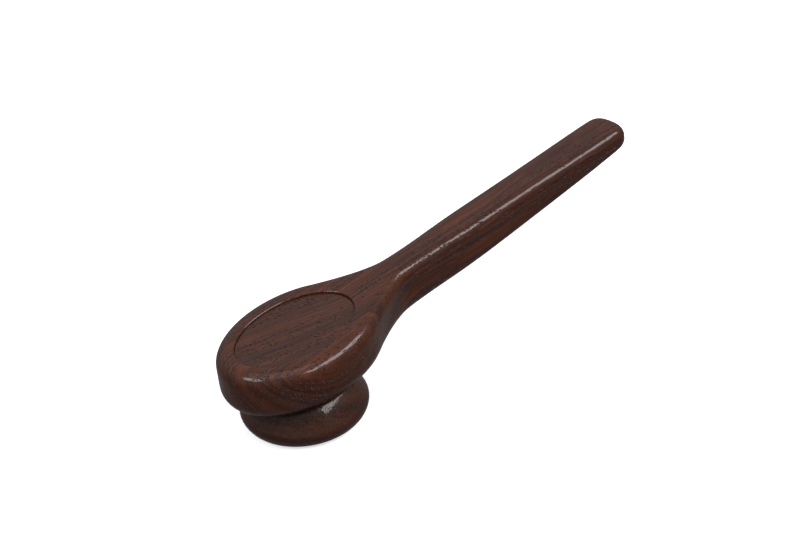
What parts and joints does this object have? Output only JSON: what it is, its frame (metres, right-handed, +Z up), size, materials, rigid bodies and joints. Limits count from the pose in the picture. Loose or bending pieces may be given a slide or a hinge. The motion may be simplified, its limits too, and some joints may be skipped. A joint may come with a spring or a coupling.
{
  "type": "twist nutcracker",
  "caption": "Wooden twist nutcracker: a long-handled paddle with an oval head that screws down on a round turned foot holding the nut cup.",
  "frame": {"origin": "centre of the foot's underside, on the screw axis", "axes": "+Z up along the screw axis, +X from the screw axis to the free end of the handle"},
  "size_m": [0.2726, 0.0656, 0.05],
  "materials": {
    "paddle_wood": "satin varnish, open pores",
    "panel_wood": "satin varnish, open pores",
    "foot_wood": "satin varnish, open pores",
    "brass": "machined",
    "washer_brass": "polished",
    "steel": "satin stainless",
    "rubber": "matt"
  },
  "bodies": {
    "base": {"foot": "foot_wood", "foot_pad": "rubber", "threaded_sleeve": "brass", "anvil_plate": "steel", "anvil_screws": "steel"},
    "press": {"press_pad": "steel", "thrust_washer": "washer_brass"},
    "handle": {"paddle": "paddle_wood", "top_panel": "panel_wood", "thread_bush": "brass", "roof_plate": "steel", "pivot_screw": "steel"}
  },
  "joints": [
    {"name": "press_rise", "type": "slide", "parent": "base", "child": "press", "axis": [0, 0, 1], "range_m": [0, 0.0161]},
    {"name": "paddle_turn", "type": "hinge", "parent": "press", "child": "handle", "pos_m": [0, 0, 0.04], "axis": [0, 0, 1], "range_deg": [0, 720]}
  ],
  "couplings": [
    {"joint": "press_rise", "follows": "paddle_turn", "m_per_rad": 0.0012732}
  ]
}
